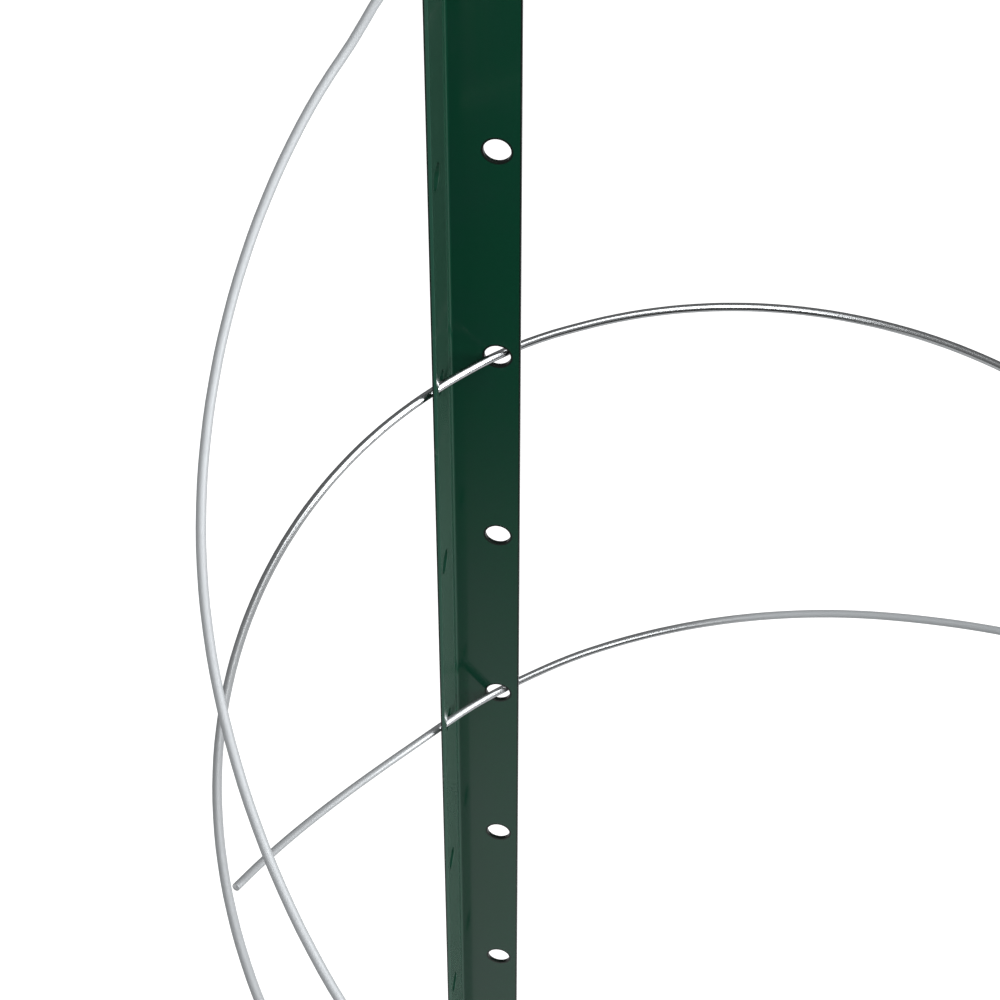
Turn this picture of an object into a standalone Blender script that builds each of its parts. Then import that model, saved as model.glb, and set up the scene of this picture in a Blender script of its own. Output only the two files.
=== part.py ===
"""A plant support: one drilled steel angle stake and one springy wire coil threaded through it.

The frame is +Z up, in metres. The origin is on the heel of the angle at the soil line: the
heel edge is the Z axis, the face flange runs along +X and the side flange along -Y, so the
hollow side of the angle looks along (1, -1) at the plant inside the coil.
"""

import math

import bmesh
import bpy
import numpy as np
from mathutils import Vector

# Stake: the rolled and drilled angle.
STAKE_ABOVE_SOIL = 0.9142
STAKE_IN_SOIL = 0.305
FLANGE_WIDTH = 0.0300
SHEET = 0.0018
BEND_INSIDE_RADIUS = 0.0012
BEND_STEPS = 6
CORNER_RADIUS = 0.0030
CORNER_STEPS = 4
POINT_LENGTH = 0.0650
POINT_WIDTH = 0.0040

# Holes: one row down each flange, every hole level with its partner.
HOLE_SPACING = 0.1016
HOLE_DIAMETER = 0.0107
HOLE_TO_HEEL = 0.0208
HOLE_COUNT = 9
TOP_HOLE_DROP = 0.0380
HOLE_SIDES = 32

# Coil: galvanised spring wire, round in plan, its turns drawn together at the front.
WIRE_DIAMETER = 0.0035
COIL_RADIUS = 0.1880
TOUCH_GAP = 0.0004
RISE_BETWEEN_HOLES = 0.0024
POINTS_PER_TURN = 72
GAP_TEST_STEP = 0.5
GAP_TEST_APART = 120.0
WIRE_ROUNDNESS = 3
STATION_STEP = 60.0
COIL_END = 764.0
STRAIGHT_ANGLE = 5.2
EASED_ANGLE = 14.0
TOP_END_ANGLE = 10.0
TOP_END_BEND = 0.0070
TOP_END_LEG = 0.0120
TOP_END_STEPS = 6
TAIL_RISE = 0.0310
TAIL_RISE_POWER = 1.6
TAIL_OUT = 0.0208
TAIL_OUT_POWER = 2.1

# Each station is a sixth of a turn further on, counter-clockwise from above. It holds the
# drop below the top hole, in hole spacings, and how far the wire stands outside COIL_RADIUS.
STATIONS = (
    (0.00, 0.000),
    (1.34, 0.007),
    (2.80, 0.001),
    (2.50, 0.000),
    (2.20, 0.000),
    (1.95, -0.005),
    (2.00, 0.000),
    (2.38, 0.010),
    (2.93, 0.026),
    (2.80, 0.038),
    (3.16, 0.042),
    (3.60, 0.000),
    (4.00, 0.000),
)
THREADED_STATIONS = (0, 6, 12)

STAKE_GREEN = (0.013, 0.060, 0.036, 1.0)
ZINC_GREY = (0.62, 0.64, 0.64, 1.0)


def clear_scene():
    for obj in list(bpy.data.objects):
        bpy.data.objects.remove(obj, do_unlink=True)


def material(name, colour, roughness, metallic):
    made = bpy.data.materials.new(name)
    made.use_nodes = True
    shader = made.node_tree.nodes["Principled BSDF"]
    shader.inputs["Base Color"].default_value = colour
    shader.inputs["Roughness"].default_value = roughness
    shader.inputs["Metallic"].default_value = metallic
    return made


def add_object(name, data, finish=None):
    obj = bpy.data.objects.new(name, data)
    bpy.context.scene.collection.objects.link(obj)
    if finish:
        data.materials.append(finish)
    return obj


def arc(centre_x, centre_y, radius, start, end, steps):
    """Points of an arc in the plane, from one angle in degrees to another."""
    angles = [math.radians(start + (end - start) * k / steps) for k in range(steps + 1)]
    return [(centre_x + radius * math.cos(a), centre_y + radius * math.sin(a)) for a in angles]


def angle_section():
    """The outline of the rolled angle, counter-clockwise, with its heel at the origin."""
    outside = BEND_INSIDE_RADIUS + SHEET
    heel = arc(outside, -outside, outside, 90.0, 180.0, BEND_STEPS)
    root = arc(outside, -outside, BEND_INSIDE_RADIUS, 180.0, 90.0, BEND_STEPS)
    side_end = [(0.0, -FLANGE_WIDTH), (SHEET, -FLANGE_WIDTH)]
    face_end = [(FLANGE_WIDTH, -SHEET), (FLANGE_WIDTH, 0.0)]
    return heel + side_end + root + face_end


def prism(name, outline, place, depth):
    """A solid made from a flat outline: place(a, b, c) turns its points to space."""
    mesh = bpy.data.meshes.new(name)
    bm = bmesh.new()
    near = [bm.verts.new(place(a, b, 0.0)) for a, b in outline]
    far = [bm.verts.new(place(a, b, depth)) for a, b in outline]
    bm.faces.new(near)
    bm.faces.new(far)
    for k in range(len(outline)):
        after = (k + 1) % len(outline)
        bm.faces.new((near[k], near[after], far[after], far[k]))
    bmesh.ops.recalc_face_normals(bm, faces=bm.faces)
    bm.to_mesh(mesh)
    bm.free()
    return mesh


def hide_cutter(cutter):
    cutter.hide_render = True
    cutter.display_type = "WIRE"


def cut(target, cutter):
    hide_cutter(cutter)
    modifier = target.modifiers.new(cutter.name, "BOOLEAN")
    modifier.operation = "DIFFERENCE"
    modifier.solver = "EXACT"
    modifier.object = cutter


def hole_heights():
    top = STAKE_ABOVE_SOIL - TOP_HOLE_DROP
    return [top - k * HOLE_SPACING for k in range(HOLE_COUNT)]


def drill_cutter(name, place):
    """A row of round drills, one for each hole of a flange."""
    reach = 4.0 * SHEET
    mesh = bpy.data.meshes.new(name)
    bm = bmesh.new()
    for height in hole_heights():
        rings = []
        for through in (-reach, reach):
            ring = arc(HOLE_TO_HEEL, height, HOLE_DIAMETER / 2.0, 0.0, 360.0, HOLE_SIDES)[:-1]
            rings.append([bm.verts.new(place(a, b, through)) for a, b in ring])
        bm.faces.new(rings[0])
        bm.faces.new(rings[1])
        for k in range(HOLE_SIDES):
            after = (k + 1) % HOLE_SIDES
            bm.faces.new((rings[0][k], rings[0][after], rings[1][after], rings[1][k]))
    bmesh.ops.recalc_face_normals(bm, faces=bm.faces)
    bm.to_mesh(mesh)
    bm.free()
    return add_object(name, mesh)


def corner_outline(height, upwards):
    """What comes off a free corner of a flange, in (distance from heel, height)."""
    sign = 1.0 if upwards else -1.0
    past = 4.0 * SHEET
    centre = (FLANGE_WIDTH - CORNER_RADIUS, height - sign * CORNER_RADIUS)
    rounded = arc(*centre, CORNER_RADIUS, 0.0, sign * 90.0, CORNER_STEPS)
    outer = [
        (centre[0], height + sign * past),
        (FLANGE_WIDTH + past, height + sign * past),
        (FLANGE_WIDTH + past, centre[1]),
    ]
    return rounded + outer


def point_outline():
    """The slanting cut that leaves each flange's lower end a driving point."""
    foot = -STAKE_IN_SOIL
    past = 4.0 * SHEET
    return [
        (FLANGE_WIDTH + past, foot + POINT_LENGTH * (1.0 + past / (FLANGE_WIDTH - POINT_WIDTH))),
        (POINT_WIDTH, foot),
        (POINT_WIDTH, foot - past),
        (FLANGE_WIDTH + past, foot - past),
    ]


def stake():
    finish = material("green_powder_coat", STAKE_GREEN, 0.28, 0.0)
    length = STAKE_ABOVE_SOIL + STAKE_IN_SOIL
    mesh = prism("angle_stake", angle_section(), lambda a, b, c: (a, b, c - STAKE_IN_SOIL), length)
    body = add_object("angle_stake", mesh, finish)
    reach = 4.0 * SHEET
    flanges = {
        "face": lambda a, b, c: (a, c, b),
        "side": lambda a, b, c: (c, -a, b),
    }
    for side, place in flanges.items():
        cut(body, drill_cutter(f"drill_{side}", place))
        trims = {
            f"corner_{side}": corner_outline(STAKE_ABOVE_SOIL, True),
            f"point_{side}": point_outline(),
        }
        for name, outline in trims.items():
            # Each trim is wider than its own sheet, and keeps to the free side of the bend.
            solid = prism(name, outline, lambda a, b, c, put=place: put(a, b, c - reach), 2.0 * reach)
            cut(body, add_object(name, solid))
    mesh.shade_smooth()
    mesh.set_sharp_from_angle(angle=math.radians(30.0))
    return body


def along_stations(values, turned):
    """A smooth curve through one value per station, read at an angle in degrees."""
    padded = [values[0], *values, values[-1]]
    reach = min(max(turned / STATION_STEP, 0.0), len(values) - 1.001)
    k = int(reach)
    t = reach - k
    before, here, ahead, beyond = padded[k : k + 4]
    slope_here = (ahead - before) / 2.0
    slope_ahead = (beyond - here) / 2.0
    return (
        here * (2 * t**3 - 3 * t**2 + 1)
        + slope_here * (t**3 - 2 * t**2 + t)
        + ahead * (3 * t**2 - 2 * t**3)
        + slope_ahead * (t**3 - t**2)
    )


def hole_half_chord():
    """Half the distance between the two holes of a pair, from middle to middle of the sheet."""
    return (HOLE_TO_HEEL - SHEET / 2.0) / math.sqrt(2.0)


def hole_angle():
    """How far round the coil each hole of a pair is from the middle of the pair, in degrees."""
    return math.degrees(math.asin(hole_half_chord() / COIL_RADIUS))


def seat_drop():
    """How far below a hole's centre the wire lies when it rests on the hole's lower edge.

    The wire crosses the sheet at a slant, so the hole meets a stretched section of it.
    """
    slant = math.radians(45.0 + hole_angle())
    clear = HOLE_DIAMETER / 2.0 * math.cos(math.pi / HOLE_SIDES) - TOUCH_GAP
    radius = WIRE_DIAMETER / 2.0
    lowest = []
    for k in range(HOLE_SIDES + 1):
        a = math.radians(90.0) * k / HOLE_SIDES
        across = SHEET / 2.0 * math.tan(slant) + radius * math.cos(a) / math.cos(slant)
        lowest.append(math.sqrt(clear**2 - across**2) - radius * math.sin(a))
    return min(lowest)


def eased(values, turned, slope=0.0):
    """As along_stations, but straight through each pair of holes, at one slope per degree.

    Past the last pair the straight line goes on, and tail() bends the free end away from it.
    """
    past = turned - THREADED_STATIONS[-1] * STATION_STEP
    if past > 0.0:
        return values[-1] + slope * past
    value = along_stations(values, turned)
    for station in THREADED_STATIONS:
        past = turned - station * STATION_STEP
        if abs(past) < EASED_ANGLE:
            t = max(abs(past) - STRAIGHT_ANGLE, 0.0) / (EASED_ANGLE - STRAIGHT_ANGLE)
            straight = values[station] + slope * past
            value = straight + (value - straight) * t * t * (3.0 - 2.0 * t)
    return value


def tail(turned):
    """How far the free lower end has risen and sprung outwards, past the last pair of holes."""
    start = THREADED_STATIONS[-1] * STATION_STEP + STRAIGHT_ANGLE
    share = max(turned - start, 0.0) / (COIL_END - start)
    return TAIL_RISE * share**TAIL_RISE_POWER, TAIL_OUT * share**TAIL_OUT_POWER


def wire_point(turned):
    """The wire's centre line, turned degrees on from the top pair of holes.

    In plan it is a circle through the middle of both holes of a pair. It rests on the lower
    edge of the side flange's hole and rises from there to the face flange's hole.
    """
    across = (HOLE_TO_HEEL + SHEET / 2.0) / 2.0
    outward = Vector((-1.0, 1.0, 0.0)).normalized()
    reach = math.sqrt(COIL_RADIUS**2 - hole_half_chord() ** 2)
    centre = Vector((across, -across, 0.0)) - reach * outward
    rise, spring = tail(turned)
    radius = COIL_RADIUS + eased([out for _, out in STATIONS], turned) + spring
    angle = math.radians(135.0 + turned)
    drops = [drop * HOLE_SPACING for drop, _ in STATIONS]
    fall = eased(drops, turned, RISE_BETWEEN_HOLES / (2.0 * hole_angle()))
    height = hole_heights()[0] - seat_drop() + RISE_BETWEEN_HOLES / 2.0 - fall + rise
    return Vector((centre.x + radius * math.cos(angle), centre.y + radius * math.sin(angle), height))


def top_end():
    """The bent-over upper end, which keeps the wire from drawing back through its holes."""
    start = wire_point(-TOP_END_ANGLE)
    along = (wire_point(-TOP_END_ANGLE) - wire_point(-TOP_END_ANGLE + 1.0)).normalized()
    down = Vector((0.0, 0.0, -1.0))
    points = []
    for k in range(TOP_END_STEPS + 1):
        a = math.radians(90.0) * k / TOP_END_STEPS
        points.append(start + TOP_END_BEND * (math.sin(a) * along + (1.0 - math.cos(a)) * down))
    points.append(points[-1] + TOP_END_LEG * down)
    return points[::-1]


def coil_route():
    step = 360.0 / POINTS_PER_TURN
    first = -round(TOP_END_ANGLE / step)
    turns = [k * step for k in range(first + 1, int(COIL_END / step) + 1)]
    if COIL_END - turns[-1] > 0.2 * step:
        turns.append(COIL_END)
    return top_end() + [wire_point(turned) for turned in turns]


def least_gap():
    """The least clear distance between stretches of the wire that are far apart along it."""
    turns = np.arange(0.0, COIL_END, GAP_TEST_STEP)
    points = np.array([tuple(wire_point(turned)) for turned in turns])
    apart = np.linalg.norm(points[:, None] - points[None], axis=2)
    apart[abs(turns[:, None] - turns[None]) < GAP_TEST_APART] = np.inf
    return apart.min() - WIRE_DIAMETER


def coil():
    finish = material("galvanised_wire", ZINC_GREY, 0.32, 1.0)
    route = coil_route()
    print(f"least gap of the coil to itself: {least_gap() * 1000:.2f} mm")
    lift = 2.0 * seat_drop() - RISE_BETWEEN_HOLES
    print(f"the coil can lift {lift * 1000:.2f} mm in its holes")
    curve = bpy.data.curves.new("support_coil", "CURVE")
    curve.dimensions = "3D"
    curve.bevel_depth = WIRE_DIAMETER / 2.0
    curve.bevel_resolution = WIRE_ROUNDNESS
    curve.use_fill_caps = True
    spline = curve.splines.new("POLY")
    spline.points.add(len(route) - 1)
    for point, place in zip(spline.points, route):
        point.co = (*place, 1.0)
    spline.use_smooth = True
    return add_object("support_coil", curve, finish)


def main():
    clear_scene()
    stake()
    coil()


main()
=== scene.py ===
"""Looks of a plant support: a green drilled steel angle and a springy galvanised wire coil.

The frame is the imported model's: +Z up, metres, with the angle's heel on the Z axis and the
soil line at z = 0. The face flange runs along +X and the side flange along -Y.
"""

import math

import bmesh
import bpy
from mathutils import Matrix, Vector


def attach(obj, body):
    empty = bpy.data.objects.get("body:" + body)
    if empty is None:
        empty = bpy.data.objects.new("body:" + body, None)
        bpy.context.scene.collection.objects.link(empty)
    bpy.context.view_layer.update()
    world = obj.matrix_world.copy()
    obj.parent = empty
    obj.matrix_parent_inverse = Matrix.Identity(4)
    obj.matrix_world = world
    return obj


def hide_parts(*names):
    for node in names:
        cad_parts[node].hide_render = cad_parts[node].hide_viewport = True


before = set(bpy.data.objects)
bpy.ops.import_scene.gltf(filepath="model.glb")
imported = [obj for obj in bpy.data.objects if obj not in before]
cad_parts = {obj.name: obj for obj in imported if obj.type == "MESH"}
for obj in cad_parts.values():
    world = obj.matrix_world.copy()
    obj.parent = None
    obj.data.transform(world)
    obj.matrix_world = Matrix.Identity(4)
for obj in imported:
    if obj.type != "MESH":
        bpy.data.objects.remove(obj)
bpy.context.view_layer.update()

# Sizes that the looks share with the model.
FLANGE_WIDTH = 0.0300
SHEET = 0.0018
HOLE_SPACING = 0.1016
HOLE_RADIUS = 0.00535
HOLE_TO_HEEL = 0.0208
TOP_HOLE_HEIGHT = 0.8762
LOWEST_HOLE_HEIGHT = 0.0634
WIRE_DIAMETER = 0.0035
FLOOR_HEIGHT = -0.305

# Fine work on the meshes.
MERGE_DISTANCE = 0.000005
STAKE_EASING = 0.00030
WIRE_END_EASING = 0.00045
CORNER_DEGREES = 50.0
WIRE_RIM_DEGREES = 60.0

# Colours, in linear light.
POWDER_GREEN = (0.0035, 0.0430, 0.0220, 1.0)
POWDER_GREEN_DULL = (0.0060, 0.0400, 0.0250, 1.0)
# Painted sheen for the hollow side of the side flange, paler lower down.
PAINTED_SHEEN_GREEN = (0.0200, 0.0520, 0.0360, 1.0)
PAINTED_SHEEN_GREEN_LOW = (0.0460, 0.0900, 0.0680, 1.0)
# Painted shade for the hole walls and cut edges.
EDGE_SHADE_GREEN = (0.0010, 0.0050, 0.0030, 1.0)
# Painted light for the side flange's sheared end face.
END_FACE_LIT_GREEN = (0.0200, 0.0750, 0.0500, 1.0)
RUBBED_STEEL = (0.3000, 0.3100, 0.3000, 1.0)
ZINC_PALE = (0.5000, 0.5150, 0.5250, 1.0)
ZINC_DARK = (0.4200, 0.4350, 0.4450, 1.0)
ZINC_FROSTED = (0.4000, 0.4180, 0.4320, 1.0)
ZINC_RIM_TINT = (0.15, 0.16, 0.17, 1.0)

# Bands over which one look of the paint, or of its painted light and shade, gives way to another,
# from and to, in metres.
HOLE_RIM = (HOLE_RADIUS + 0.0005, HOLE_RADIUS + 0.0011)
SHEARED_END = (FLANGE_WIDTH - 0.0004, FLANGE_WIDTH - 0.0001)
FREE_EDGE = (FLANGE_WIDTH - 0.0007, FLANGE_WIDTH - 0.0004)
OUTER_CORNER = (0.0004, 0.0008)
HOLLOW_FACE = (SHEET - 0.0004, SHEET - 0.0001)
# Heights over which the painted sheen grows paler.
SHEEN_HEIGHT = (0.58, 0.72)
RUB_HEIGHT = (0.008, 0.022)
RUB_REACH = (HOLE_RADIUS + 0.001, HOLE_RADIUS + 0.007)
PALE_MARK_TO_HOLE = 0.031
PALE_MARK_SPREAD = (0.001, 0.006)
LOWEST_PALE_MARK = TOP_HOLE_HEIGHT - 4.5 * HOLE_SPACING
RUB_STRENGTH = 0.16

# Stretches over which the zinc changes, from and to, as shares of the wire's length.
FIRST_TURN_ENDS = (0.20, 0.30)
LAST_TURN_STARTS = (0.53, 0.60)
LAST_TURN_ENDS = (0.885, 0.915)
TAIL_ENDS = (0.93, 0.97)

# The studio: where the floor turns pale, and how bright floor and room are to each kind of ray.
FLOOR_REACH = 6.0
PALE_AHEAD = (-1.12, -0.50)
PALE_LEFT = (-0.42, -0.27)
FLOOR_MIRRORED = 0.56
FLOOR_TO_CAMERA = 0.92
HORIZON = (-0.15, 0.25)
ROOM_MIRRORED = (0.08, 0.22)
ROOM_FILL = 0.45


# Nodes


def feed(tree, socket, value):
    """Links the socket to another node's output, or sets it to a plain value."""
    if isinstance(value, bpy.types.NodeSocket):
        tree.links.new(value, socket)
    else:
        socket.default_value = value


def node(tree, kind, **values):
    """Adds a node; a value named in_x or in_0 sets an input, any other sets a property."""
    made = tree.nodes.new(kind)
    for key, value in values.items():
        if key.startswith("in_"):
            name = key[3:]
            socket = made.inputs[int(name) if name.isdigit() else name.replace("_", " ")]
            feed(tree, socket, value)
        else:
            setattr(made, key, value)
    return made


def maths(tree, operation, *values, clamp=False):
    made = node(tree, "ShaderNodeMath", operation=operation, use_clamp=clamp)
    for socket, value in zip(made.inputs, values):
        feed(tree, socket, value)
    return made.outputs[0]


def times(tree, first, second):
    return maths(tree, "MULTIPLY", first, second)


def raised(tree, base, mask, by, clamp=False):
    """The base value, higher by the given amount where the mask is 1."""
    return maths(tree, "MULTIPLY_ADD", mask, by, base, clamp=clamp)


def smooth_step(tree, value, low, high, low_out=0.0, high_out=1.0):
    """Goes smoothly from low_out, where the value is low, to high_out, where it is high."""
    made = node(
        tree,
        "ShaderNodeMapRange",
        interpolation_type="SMOOTHSTEP",
        in_Value=value,
        in_From_Min=low,
        in_From_Max=high,
        in_To_Min=low_out,
        in_To_Max=high_out,
    )
    return made.outputs[0]


def fade(tree, value, low, high, rest=0.0):
    return smooth_step(tree, value, low, high, 1.0, rest)


def blend_colour(tree, factor, first, second):
    made = node(tree, "ShaderNodeMix", data_type="RGBA", in_0=factor, in_6=first, in_7=second)
    return made.outputs[2]


def noise(tree, vector, scale, detail, roughness):
    made = node(tree, "ShaderNodeTexNoise", in_Vector=vector, in_Scale=scale)
    made.inputs["Detail"].default_value = detail
    made.inputs["Roughness"].default_value = roughness
    return made.outputs["Fac"]


def mix_shaders(tree, factor, first, second):
    made = node(tree, "ShaderNodeMixShader", in_0=factor)
    feed(tree, made.inputs[1], first.outputs[0])
    feed(tree, made.inputs[2], second.outputs[0])
    return made.outputs[0]


def bump(tree, height, strength, distance, under=None):
    made = node(tree, "ShaderNodeBump", in_Strength=strength, in_Distance=distance)
    feed(tree, made.inputs["Height"], height)
    if under is not None:
        feed(tree, made.inputs["Normal"], under)
    return made.outputs["Normal"]


def group_shell(name, amounts, output):
    """A node group that takes a vector and some amounts, and gives one value."""
    tree = bpy.data.node_groups.new(name, "ShaderNodeTree")
    tree.interface.new_socket(name="Vector", in_out="INPUT", socket_type="NodeSocketVector")
    for label, usual in amounts.items():
        socket = tree.interface.new_socket(
            name=label, in_out="INPUT", socket_type="NodeSocketFloat"
        )
        socket.default_value = usual
    tree.interface.new_socket(name=output, in_out="OUTPUT", socket_type="NodeSocketFloat")
    given = tree.nodes.new("NodeGroupInput")
    result = tree.nodes.new("NodeGroupOutput")
    return tree, given.outputs, result.inputs[output]


def handling_marks_group():
    """Fine broken scuffs, as a mask: where a finished piece has been rubbed and handled."""
    tree, given, mask = group_shell("Handling marks", {"Scale": 60.0, "Coverage": 0.3}, "Mask")
    patches = noise(tree, given["Vector"], given["Scale"], detail=4.0, roughness=0.6)
    grain_scale = times(tree, given["Scale"], 7.0)
    grain = noise(tree, given["Vector"], grain_scale, detail=3.0, roughness=0.7)
    both = raised(tree, times(tree, patches, 0.55), grain, by=0.45)
    # More coverage lowers the level that the noise has to pass.
    level = raised(tree, 0.72, given["Coverage"], by=-0.35)
    past = maths(tree, "SUBTRACT", both, level)
    sharpness = 14.0
    feed(tree, mask, maths(tree, "MULTIPLY", past, sharpness, clamp=True))
    return tree


def uneven_tone_group():
    """A slow change of tone over a piece, from 0 to 1, with a finer one laid on it."""
    tree, given, tone = group_shell("Uneven tone", {"Scale": 8.0, "Fine": 0.3}, "Tone")
    slow = noise(tree, given["Vector"], given["Scale"], detail=3.0, roughness=0.55)
    fine_scale = times(tree, given["Scale"], 18.0)
    fine = noise(tree, given["Vector"], fine_scale, detail=3.0, roughness=0.6)
    slow_share = maths(tree, "SUBTRACT", 1.0, given["Fine"])
    fine_part = times(tree, fine, given["Fine"])
    mixed = maths(tree, "ADD", fine_part, times(tree, slow, slow_share))
    feed(tree, tone, smooth_step(tree, mixed, low=0.33, high=0.67))
    return tree


handling_marks = handling_marks_group()
uneven_tone = uneven_tone_group()


def use_group(tree, group, **values):
    return node(tree, "ShaderNodeGroup", node_tree=group, **values).outputs[0]


def empty_tree(block):
    """A material's or the world's own node tree, with nothing in it."""
    block.use_nodes = True
    block.node_tree.nodes.clear()
    return block.node_tree


def new_material(name):
    made = bpy.data.materials.new(name)
    tree = empty_tree(made)
    shader = tree.nodes.new("ShaderNodeBsdfPrincipled")
    node(tree, "ShaderNodeOutputMaterial", in_Surface=shader.outputs[0])
    return made, tree, shader


def height_off(tree, z, spacing):
    """Height off the nearest of the levels that lie this far apart, with the top hole on one."""
    from_top = maths(tree, "SUBTRACT", z, TOP_HOLE_HEIGHT)
    return maths(tree, "WRAP", from_top, spacing / 2.0, -spacing / 2.0)


def powder_coat():
    """Glossy dark green powder coat on rolled steel: orange peel, painted shade on the cut edges
    and in the holes, painted light on one end face, a painted sheen on the hollow side, rub
    marks.
    """
    made, tree, shader = new_material("green_powder_coat")
    place = tree.nodes.new("ShaderNodeTexCoord").outputs["Object"]
    x, y, z = node(tree, "ShaderNodeSeparateXYZ", in_Vector=place).outputs

    # Distance from the heel along either flange, and depth in the sheet from its outer face.
    minus_y = times(tree, y, -1.0)
    from_heel = maths(tree, "MAXIMUM", x, minus_y)
    in_sheet = maths(tree, "MINIMUM", x, minus_y)
    on_side = maths(tree, "LESS_THAN", y, -3.0 * SHEET)

    # Painted shade: the walls of the holes are dark, but hardly so in the side flange.
    aside = maths(tree, "SUBTRACT", from_heel, HOLE_TO_HEEL)
    above = height_off(tree, z, HOLE_SPACING)
    squares = maths(tree, "ADD", times(tree, aside, aside), times(tree, above, above))
    from_hole = maths(tree, "SQRT", squares)
    drilled = maths(tree, "GREATER_THAN", z, LOWEST_HOLE_HEIGHT - HOLE_SPACING / 2.0)
    hole_shade = times(tree, fade(tree, from_hole, *HOLE_RIM), drilled)
    hole_shade = times(tree, hole_shade, raised(tree, 1.0, on_side, by=-0.85))

    # Painted light and shade: the side flange's sheared end is painted paler, as if lit, with a
    # shaded dark outer corner. The face flange's end is painted dark, as if in shade.
    sheared = smooth_step(tree, from_heel, *SHEARED_END)
    corner_shade = times(tree, sheared, fade(tree, in_sheet, *OUTER_CORNER))
    edge_shade = maths(tree, "MAXIMUM", hole_shade, corner_shade)
    edge_shade = maths(tree, "MAXIMUM", edge_shade, smooth_step(tree, x, *FREE_EDGE))

    # Rubbing by the wire round the threaded holes, which are every second one.
    off_threaded = maths(tree, "ABSOLUTE", height_off(tree, z, 2.0 * HOLE_SPACING))
    near_height = fade(tree, off_threaded, *RUB_HEIGHT)
    near_wire = times(tree, near_height, fade(tree, from_hole, *RUB_REACH))
    near_wire = times(tree, near_wire, drilled)
    rubbed = times(tree, near_wire, raised(tree, 0.1, on_side, by=0.3))
    # The side flange gets pale marks a little way above and below them.
    off_scratch = maths(tree, "SUBTRACT", off_threaded, PALE_MARK_TO_HOLE)
    off_scratch = maths(tree, "ABSOLUTE", off_scratch)
    pale_marks = times(tree, fade(tree, off_scratch, *PALE_MARK_SPREAD), on_side)
    pale_marks = times(tree, pale_marks, maths(tree, "GREATER_THAN", z, LOWEST_PALE_MARK))
    fine_marks = use_group(
        tree, handling_marks, in_Vector=place, in_Scale=420.0, in_Coverage=0.55
    )
    rubbed = times(tree, fine_marks, maths(tree, "MAXIMUM", rubbed, pale_marks))

    tone = use_group(tree, uneven_tone, in_Vector=place, in_Scale=9.0, in_Fine=0.25)
    colour = blend_colour(tree, tone, POWDER_GREEN, POWDER_GREEN_DULL)
    # Painted sheen: the hollow side of the side flange is paler and greyer, as if catching light,
    # and more so towards the ground.
    sheen_tinted = times(tree, smooth_step(tree, in_sheet, *HOLLOW_FACE), on_side)
    low_down = fade(tree, z, *SHEEN_HEIGHT)
    sheen_tint = blend_colour(tree, low_down, PAINTED_SHEEN_GREEN, PAINTED_SHEEN_GREEN_LOW)
    # Painted sheen on the hollow side of the side flange.
    colour = blend_colour(tree, sheen_tinted, colour, sheen_tint)
    # Painted light on the side flange's sheared end.
    colour = blend_colour(tree, sheared, colour, END_FACE_LIT_GREEN)
    # Painted shade on the hole walls and cut edges.
    colour = blend_colour(tree, edge_shade, colour, EDGE_SHADE_GREEN)
    colour = blend_colour(tree, times(tree, rubbed, RUB_STRENGTH), colour, RUBBED_STEEL)
    feed(tree, shader.inputs["Base Color"], colour)

    # Roll lines run down the sheet under the paint.
    drawn = node(tree, "ShaderNodeMapping", in_Vector=place, in_Scale=(330.0, 330.0, 3.0))
    lines = noise(tree, drawn.outputs[0], 1.0, detail=3.0, roughness=0.6)
    peel = noise(tree, place, 750.0, detail=2.0, roughness=0.5)
    light_marks = use_group(
        tree, handling_marks, in_Vector=place, in_Scale=90.0, in_Coverage=0.25
    )
    roughness = raised(tree, 0.09, lines, by=0.04)
    roughness = raised(tree, roughness, light_marks, by=0.03)
    roughness = raised(tree, roughness, edge_shade, by=0.2, clamp=True)
    feed(tree, shader.inputs["Roughness"], roughness)
    normal = bump(tree, lines, strength=0.18, distance=0.00010)
    normal = bump(tree, peel, strength=0.06, distance=0.00004, under=normal)
    feed(tree, shader.inputs["Normal"], normal)
    shader.inputs["Specular IOR Level"].default_value = 0.25
    return made


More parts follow.
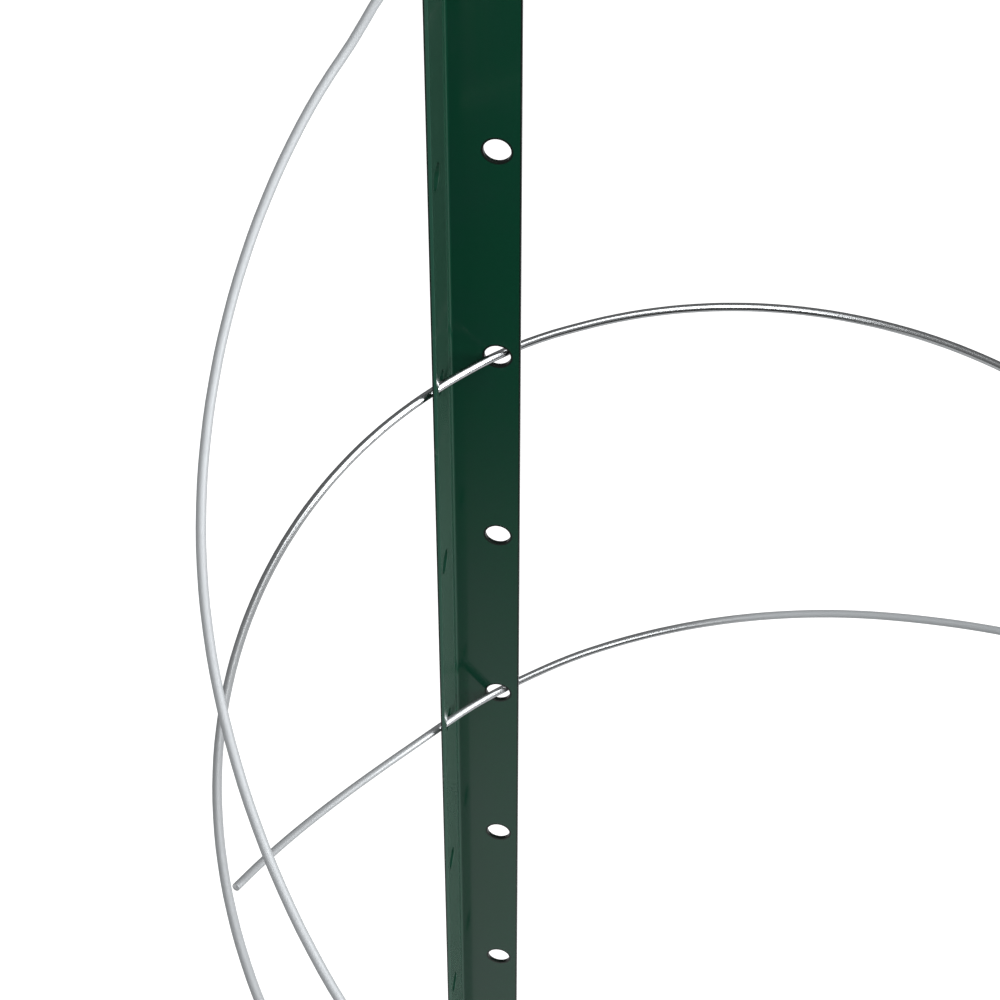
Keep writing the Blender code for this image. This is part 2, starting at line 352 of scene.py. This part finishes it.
def galvanised():
    """Drawn wire with a dull zinc coat: lengthwise streaks, fine spangle, polished rub marks."""
    made, tree, shader = new_material("galvanised_wire")
    coordinates = tree.nodes.new("ShaderNodeTexCoord")
    place = coordinates.outputs["Object"]
    along, around, _ = node(
        tree, "ShaderNodeSeparateXYZ", in_Vector=coordinates.outputs["UV"]
    ).outputs

    # Streaks are drawn out along the wire and close up round it.
    streak_lengths = 60.0
    streak_girth = 3.0
    turn = times(tree, around, 2.0 * math.pi)
    wrapped = node(
        tree,
        "ShaderNodeCombineXYZ",
        in_X=times(tree, along, streak_lengths),
        in_Y=times(tree, maths(tree, "COSINE", turn), streak_girth),
        in_Z=times(tree, maths(tree, "SINE", turn), streak_girth),
    )
    streaks = noise(tree, wrapped.outputs[0], 1.0, detail=4.0, roughness=0.65)
    spangle = node(tree, "ShaderNodeTexVoronoi", in_Vector=place, in_Scale=520.0)
    spangle_tones = node(tree, "ShaderNodeSeparateXYZ", in_Vector=spangle.outputs["Color"])
    tone = use_group(tree, uneven_tone, in_Vector=place, in_Scale=30.0, in_Fine=0.4)
    marks = use_group(tree, handling_marks, in_Vector=place, in_Scale=140.0, in_Coverage=0.35)

    shade = raised(tree, times(tree, spangle_tones.outputs[0], 0.2), streaks, by=0.5)
    shade = raised(tree, shade, tone, by=0.3)
    shade = smooth_step(tree, shade, low=0.2, high=0.8)
    colour = blend_colour(tree, shade, ZINC_PALE, ZINC_DARK)
    # The first turn, the far side of the last and the tail's end have a paler, frosted zinc.
    last_turn_starts = smooth_step(tree, along, *LAST_TURN_STARTS)
    frosted = times(tree, last_turn_starts, fade(tree, along, *LAST_TURN_ENDS, rest=0.1))
    frosted = maths(tree, "ADD", frosted, fade(tree, along, *FIRST_TURN_ENDS))
    tail_frosted = smooth_step(tree, along, *TAIL_ENDS, high_out=0.6)
    frosted = maths(tree, "ADD", frosted, tail_frosted, clamp=True)
    colour = blend_colour(tree, frosted, colour, ZINC_FROSTED)
    feed(tree, shader.inputs["Base Color"], colour)

    feed(tree, shader.inputs["Metallic"], raised(tree, 1.0, frosted, by=-0.65))
    shader.inputs["Specular Tint"].default_value = ZINC_RIM_TINT
    roughness = raised(tree, 0.20, shade, by=0.05)
    roughness = raised(tree, roughness, frosted, by=0.36)
    roughness = raised(tree, roughness, marks, by=0.05, clamp=True)
    feed(tree, shader.inputs["Roughness"], roughness)
    normal = bump(tree, streaks, strength=0.08, distance=0.00003)
    spangle_height = spangle.outputs["Distance"]
    normal = bump(tree, spangle_height, strength=0.05, distance=0.00001, under=normal)
    feed(tree, shader.inputs["Normal"], normal)
    return made


# Pieces


body_node = {"stake": "angle_stake", "coil": "support_coil"}


def new_object(name, data):
    made = bpy.data.objects.new(name, data)
    bpy.context.scene.collection.objects.link(made)
    return made


def add_piece(name, mesh, finish, body):
    mesh.materials.clear()
    mesh.materials.append(finish)
    piece = new_object(name, mesh)
    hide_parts(body_node[body])
    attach(piece, body)


def merged(mesh):
    """The mesh as a closed bmesh, out of its loose triangles or open ends."""
    bm = bmesh.new()
    bm.from_mesh(mesh)
    bmesh.ops.remove_doubles(bm, verts=bm.verts, dist=MERGE_DISTANCE)
    return bm


def clean_layers(bm):
    """Drops the layers that the model's file left on the mesh, such as its stored normals."""
    loops = bm.loops.layers
    for layers in (loops.uv, loops.float_vector, bm.verts.layers.float_vector):
        for layer in list(layers.values()):
            layers.remove(layer)


def sharp_edges(bm, degrees):
    return [e for e in bm.edges if e.calc_face_angle(0.0) > math.radians(degrees)]


def ease(bm, edges, width, segments):
    """Rounds the edges over."""
    bmesh.ops.bevel(
        bm,
        geom=edges,
        offset=width,
        offset_type="OFFSET",
        affect="EDGES",
        segments=segments,
        profile=0.5,
        clamp_overlap=True,
        material=-1,
    )


def stake_piece(finish):
    """The drilled angle with its sharp edges eased, as paint leaves them."""
    bm = merged(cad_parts["angle_stake"].data)
    clean_layers(bm)
    flat = math.radians(1.0)
    bmesh.ops.dissolve_limit(bm, angle_limit=flat, verts=bm.verts, edges=bm.edges)
    ease(bm, sharp_edges(bm, CORNER_DEGREES), STAKE_EASING, segments=2)
    mesh = bpy.data.meshes.new("painted_stake")
    bm.to_mesh(mesh)
    bm.free()
    mesh.shade_smooth()
    # Each corner leans to its widest face, so the flanges stay flat beside their eased edges.
    normals = [Vector() for _ in mesh.vertices]
    for face in mesh.polygons:
        for index in face.vertices:
            normals[index] += face.normal * face.area
    mesh.normals_split_custom_set_from_vertices([n.normalized() for n in normals])
    add_piece("painted_stake", mesh, finish, "stake")


def wire_route():
    """Middles of the model wire's rings, from the bent upper end to the tail."""
    bm = merged(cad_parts["support_coil"].data)
    bm.verts.index_update()
    rims = {v for e in sharp_edges(bm, WIRE_RIM_DEGREES) for v in e.verts}
    highest = max(rims, key=lambda v: v.co.z)
    reach = 1.5 * WIRE_DIAMETER
    ring = {v for v in rims if (v.co - highest.co).length < reach}
    seen = set(ring)
    middles = []
    while ring:
        in_order = sorted(ring, key=lambda v: v.index)
        middles.append(sum((v.co for v in in_order), Vector()) / len(in_order))
        ring = {e.other_vert(v) for v in ring for e in v.link_edges} - seen
        seen |= ring
    bm.free()
    return middles


def coil_piece(finish):
    """The wire as one smooth round rod along the model's route, with eased cut ends."""
    curve = bpy.data.curves.new("zinc_coil", "CURVE")
    curve.dimensions = "3D"
    curve.bevel_depth = WIRE_DIAMETER / 2.0
    curve.bevel_resolution = 6
    curve.resolution_u = 3
    curve.use_fill_caps = True
    route = wire_route()
    spline = curve.splines.new("BEZIER")
    spline.bezier_points.add(len(route) - 1)
    for point, place in zip(spline.bezier_points, route):
        point.co = place
        point.handle_left_type = "AUTO"
        point.handle_right_type = "AUTO"
    rod = new_object("zinc_coil_route", curve)
    evaluated = rod.evaluated_get(bpy.context.evaluated_depsgraph_get())
    mesh = bpy.data.meshes.new_from_object(evaluated)
    bpy.data.objects.remove(rod)
    mesh.name = "zinc_coil"
    bm = merged(mesh)
    ease(bm, sharp_edges(bm, WIRE_RIM_DEGREES), WIRE_END_EASING, segments=3)
    bm.to_mesh(mesh)
    bm.free()
    mesh.shade_smooth()
    add_piece("zinc_coil", mesh, finish, "coil")


# Studio


def grey(level):
    return (level, level, level, 1.0)


def floor_material():
    """Pale paper, white to the camera and a little dimmer in shiny metal, with a soft shadow.

    The camera sees it on all sides, but in front and on the right it lights and is mirrored less.
    """
    made = bpy.data.materials.new("pale_floor")
    tree = empty_tree(made)
    ray = tree.nodes.new("ShaderNodeLightPath").outputs
    seen = maths(tree, "ADD", ray["Is Camera Ray"], ray["Is Glossy Ray"])
    seen = maths(tree, "ADD", seen, ray["Is Transmission Ray"], clamp=True)
    place = tree.nodes.new("ShaderNodeTexCoord").outputs["Object"]
    across, ahead, _ = node(tree, "ShaderNodeSeparateXYZ", in_Vector=place).outputs
    lit = smooth_step(tree, ahead, *PALE_AHEAD)
    lit = maths(tree, "MAXIMUM", lit, fade(tree, across, *PALE_LEFT))
    lit_or_seen = maths(tree, "MAXIMUM", lit, ray["Is Camera Ray"])

    pale = blend_colour(tree, lit, grey(0.05), grey(0.8))
    paper = node(tree, "ShaderNodeBsdfDiffuse", in_Color=pale)
    faint = blend_colour(tree, lit_or_seen, grey(0.02), grey(0.3))
    catch = node(tree, "ShaderNodeBsdfDiffuse", in_Color=faint)
    for_camera = FLOOR_TO_CAMERA - FLOOR_MIRRORED
    strength = raised(tree, FLOOR_MIRRORED, ray["Is Camera Ray"], by=for_camera)
    strength = times(tree, lit_or_seen, strength)
    glow = node(tree, "ShaderNodeEmission", in_Color=grey(1.0), in_Strength=strength)
    white = node(tree, "ShaderNodeAddShader", in_0=catch.outputs[0], in_1=glow.outputs[0])
    mixed = mix_shaders(tree, seen, paper, white)
    node(tree, "ShaderNodeOutputMaterial", in_Surface=mixed)
    return made


def floor():
    """A sheet of pale paper all round the stake."""
    mesh = bpy.data.meshes.new("floor")
    bm = bmesh.new()
    reach = FLOOR_REACH
    corners = ((-reach, -reach), (reach, -reach), (reach, reach), (-reach, reach))
    bm.faces.new([bm.verts.new((x, y, FLOOR_HEIGHT)) for x, y in corners])
    bm.to_mesh(mesh)
    bm.free()
    mesh.materials.append(floor_material())
    sheet = new_object("floor", mesh)


def studio_world():
    """White to the camera, even fill light on every side, and a dim room in shiny metal."""
    world = bpy.data.worlds.new("studio")
    bpy.context.scene.world = world
    tree = empty_tree(world)
    ray = tree.nodes.new("ShaderNodeLightPath").outputs
    seen = maths(tree, "ADD", ray["Is Camera Ray"], ray["Is Transmission Ray"], clamp=True)
    direction = tree.nodes.new("ShaderNodeTexCoord").outputs["Generated"]
    up = node(tree, "ShaderNodeSeparateXYZ", in_Vector=direction).outputs[2]
    level = smooth_step(tree, up, *HORIZON, *ROOM_MIRRORED)
    level = maths(tree, "MAXIMUM", level, times(tree, ray["Is Diffuse Ray"], ROOM_FILL))
    room = node(tree, "ShaderNodeBackground", in_Color=grey(1.0), in_Strength=level)
    white = node(tree, "ShaderNodeBackground", in_Color=grey(1.0), in_Strength=1.0)
    node(tree, "ShaderNodeOutputWorld", in_Surface=mix_shaders(tree, seen, room, white))


def lamp(name, place, aim, size, power):
    data = bpy.data.lights.new(name, "AREA")
    data.shape = "RECTANGLE"
    data.size, data.size_y = size
    data.energy = power
    made = new_object(name, data)
    made.location = place
    made.rotation_euler = (Vector(aim) - Vector(place)).to_track_quat("-Z", "Y").to_euler()


def camera():
    """The photograph's view: from above the hollow side of the angle, 45 degrees down."""
    data = bpy.data.cameras.new("camera")
    data.sensor_width = 36.0
    data.lens = 95.04
    data.shift_x = -0.003
    made = new_object("camera", data)
    made.location = (0.1558, -0.7704, 1.3728)
    azimuth = math.radians(9.8)
    down = math.radians(45.0)
    level = math.cos(down)
    look = Vector((-math.sin(azimuth) * level, math.cos(azimuth) * level, -math.sin(down)))
    made.rotation_euler = look.to_track_quat("-Z", "Y").to_euler()
    bpy.context.scene.camera = made


stake_piece(powder_coat())
coil_piece(galvanised())
floor()
studio_world()
lamp("key", place=(0.5, -2.3, 2.6), aim=(0.1, -0.1, 0.5), size=(1.0, 0.7), power=24.0)
lamp("top", place=(0.8, -0.5, 2.9), aim=(0.1, -0.1, 0.5), size=(1.7, 1.2), power=26.0)
lamp("right", place=(2.6, -0.7, 1.7), aim=(0.0, -0.1, 0.5), size=(0.9, 1.8), power=76.0)
camera()
bpy.context.scene.view_settings.view_transform = "Standard"
